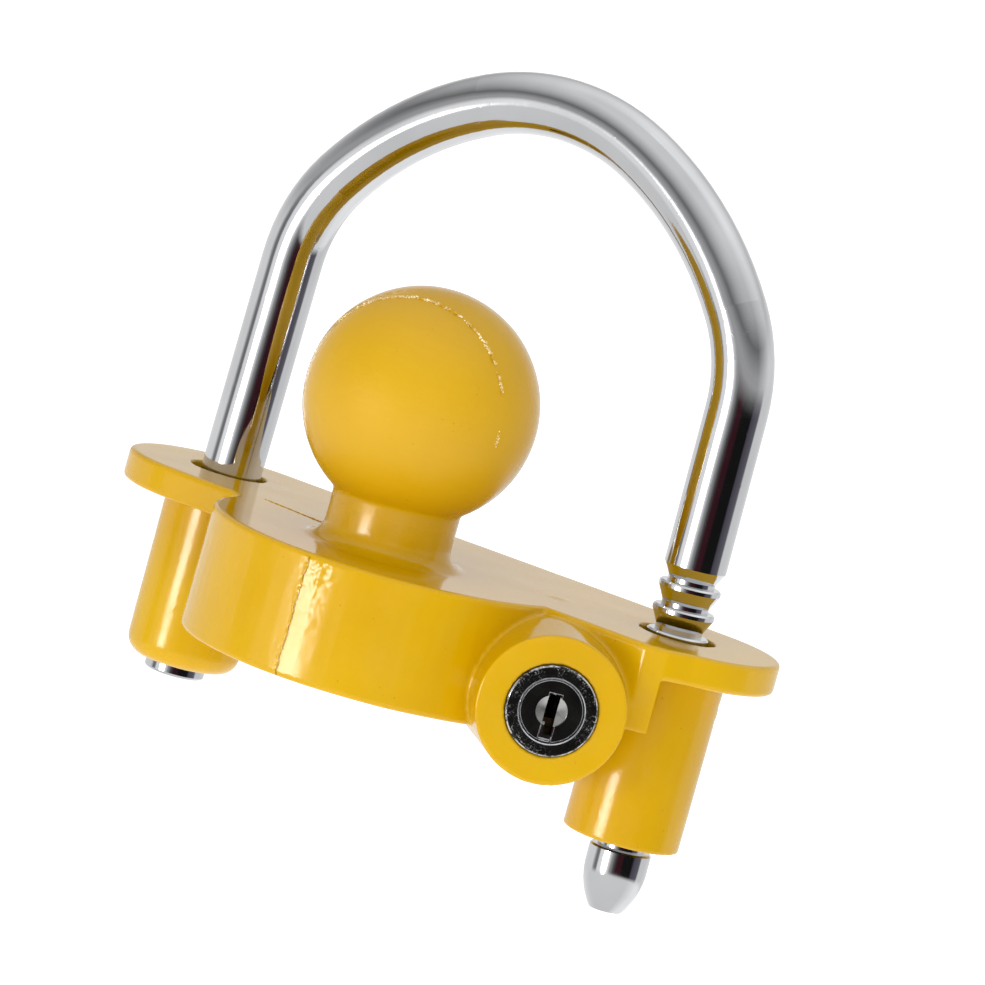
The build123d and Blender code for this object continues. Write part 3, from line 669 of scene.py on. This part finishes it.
# Angles go up from the ball's right side, in degrees
LINE_START = 146
LINE_STEP = 0.2
LINE_CRUMBS = 620
LINE_COARSE_BELOW = 100
COARSE_CRUMB = 0.30 * MM
FINE_CRUMB = 0.20 * MM
GAP_SCALE = 0.16
GAP_BELOW = -0.25
CHIP_START = 2
CHIP_STEP = 0.28
CHIP_CRUMBS = 26
CHIP_CRUMB = 0.24 * MM
# The trace on the deck, from left to right
TRACE_START = (-35.0 * MM, 9.5 * MM)
TRACE_RUN = (19.0 * MM, -3.0 * MM)
TRACE_POINTS = 60
TRACE_RADIUS = 0.12 * MM
TRACE_WANDER = 0.04 * MM
TRACE_SWELL = (0.4, 1.3)


def new_piece(name, mesh, smooth):
    piece = bpy.data.objects.new(name, mesh)
    bpy.context.scene.collection.objects.link(piece)
    mesh.polygons.foreach_set("use_smooth", [smooth] * len(mesh.polygons))
    return piece


def random_vector(reach):
    return Vector([random.uniform(-reach, reach) for _ in range(3)])


def ridge(name, path, radius, wander, swell):
    """A thin uneven bead along a path, as a mould's joint leaves under paint."""
    curve = bpy.data.curves.new(name, "CURVE")
    curve.dimensions = "3D"
    curve.bevel_depth = radius
    curve.bevel_resolution = 2
    spline = curve.splines.new("POLY")
    spline.points.add(len(path) - 1)
    for point, place in zip(spline.points, path):
        point.co = (*(place + random_vector(wander)), 1)
        point.radius = random.uniform(*swell)
    source = bpy.data.objects.new(name + "_curve", curve)
    bpy.context.scene.collection.objects.link(source)
    depsgraph = bpy.context.evaluated_depsgraph_get()
    mesh = bpy.data.meshes.new_from_object(source.evaluated_get(depsgraph))
    bpy.data.objects.remove(source)
    return new_piece(name, mesh, smooth=True)


def crumbs(name, places, scatter):
    """Small eight-sided crumbs of metal under the paint, scattered about (place, size) pairs."""
    corners = [(1, 0, 0), (-1, 0, 0), (0, 1, 0), (0, -1, 0), (0, 0, 1), (0, 0, -1)]
    sides = [(0, 2, 4), (2, 1, 4), (1, 3, 4), (3, 0, 4), (2, 0, 5), (1, 2, 5), (3, 1, 5), (0, 3, 5)]
    points = []
    faces = []
    for place, size in places:
        middle = place + random_vector(scatter)
        angle = random.uniform(0, math.pi)
        turn = Matrix.Rotation(angle, 3, Vector((random.random(), random.random(), 1)))
        first = len(points)
        for corner in corners:
            reach = size * random.uniform(*CRUMB_SPREAD)
            points.append(middle + turn @ Vector(corner) * reach)
        faces += [tuple(first + c for c in side) for side in sides]
    mesh = bpy.data.meshes.new(name)
    mesh.from_pydata(points, [], faces)
    return new_piece(name, mesh, smooth=False)


def seam_place(degrees):
    """A place on the ball's joint line, at an angle up from the ball's right side."""
    angle = math.radians(degrees)
    y = SEAM_OFFSET + SEAM_SLANT * math.cos(angle) * BALL_RADIUS
    ring = math.sqrt(BALL_RADIUS ** 2 - y ** 2)
    return Vector((ring * math.cos(angle), y, ring * math.sin(angle)))


def ball_seam():
    """Crumbs in a broken line from the ball's left shoulder over the top, and a chip on its right side."""
    places = []
    for step in range(LINE_CRUMBS):
        degrees = LINE_START - LINE_STEP * step
        size = COARSE_CRUMB if degrees < LINE_COARSE_BELOW else FINE_CRUMB
        if noise.noise(Vector((degrees * GAP_SCALE, 3.0, 0))) > GAP_BELOW:
            places.append((seam_place(degrees), size))
    for step in range(CHIP_CRUMBS):
        places.append((seam_place(CHIP_START - CHIP_STEP * step), CHIP_CRUMB))
    return crumbs("ball_seam", places, SEAM_SCATTER)


def deck_seam():
    """The same joint's trace across the deck to the neck's foot."""
    last = TRACE_POINTS - 1
    path = [
        Vector((TRACE_START[0] + TRACE_RUN[0] * s / last, TRACE_START[1] + TRACE_RUN[1] * s / last, deck_z))
        for s in range(TRACE_POINTS)
    ]
    return ridge("deck_seam", path, TRACE_RADIUS, TRACE_WANDER, TRACE_SWELL)


# ---------------------------------------------------------------- putting it together
SHARP_ANGLE = 35.0


def shade_smooth(obj):
    """Smooth shading that keeps real edges sharp."""
    obj.data.polygons.foreach_set("use_smooth", [True] * len(obj.data.polygons))
    obj.data.set_sharp_from_angle(angle=math.radians(SHARP_ANGLE))


def dress(obj, material):
    obj.data.materials.clear()
    obj.data.materials.append(material)


make_camera()
make_world()
make_floor()
for name, place, size, power in LAMPS:
    add_softbox(name, place, size, power)

finishes = {
    "yellow_paint": yellow_paint(),
    "chrome": bright_chrome(),
    "black_chrome": black_chrome(),
}
for name, (colour, roughness) in PLAIN_METALS.items():
    finishes[name] = worn_metal(name, colour, roughness)
for part in frame["record"]["subparts"]:
    dress(nodes[part["node"]], finishes[part["material_slot"]])
    shade_smooth(nodes[part["node"]])

casting = painted_casting()
paint = finishes["yellow_paint"]
for piece, finish in ((casting, paint), (deck_seam(), paint), (ball_seam(), seam_paint_with_painted_glints())):
    dress(piece, finish)
    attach(piece, "casting")
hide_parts("body_casting")

bpy.context.scene.view_settings.view_transform = "Standard"
